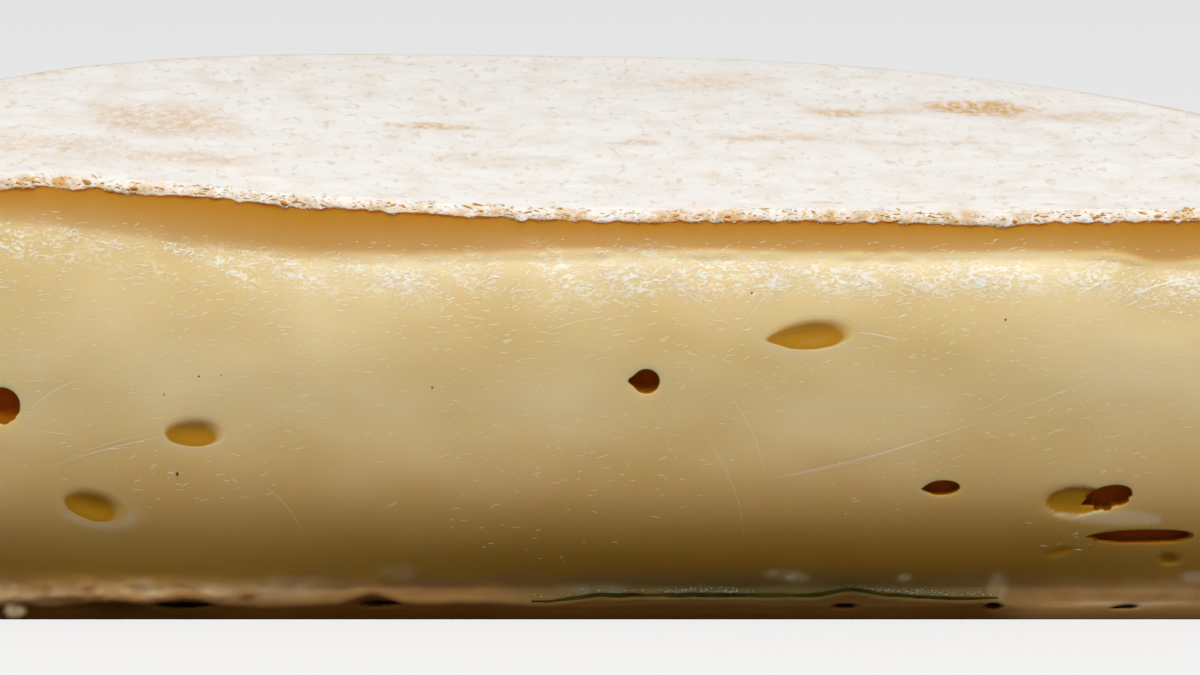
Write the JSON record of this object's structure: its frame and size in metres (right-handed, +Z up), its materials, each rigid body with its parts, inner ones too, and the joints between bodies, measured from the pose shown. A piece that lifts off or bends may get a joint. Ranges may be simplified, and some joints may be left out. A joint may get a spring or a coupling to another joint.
{
  "type": "half reblochon cheese",
  "caption": "Half of a ripe soft washed-rind cheese wheel, lying on its flat side, with the swollen cut face, its eyes and the casein plaque in the underside.",
  "frame": {"origin": "middle of the footprint, on the surface that the cheese lies on", "axes": "+X along the cut, +Y from the cut face to the round back, +Z up"},
  "size_m": [0.144, 0.0754, 0.0374],
  "materials": {
    "cheese": "moist, slightly translucent cream-yellow paste with a white bloomed orange rind",
    "casein": "thin dark green casein"
  },
  "bodies": {
    "root": {"cheese_half": "cheese", "casein_plaque": "casein"}
  },
  "joints": []
}
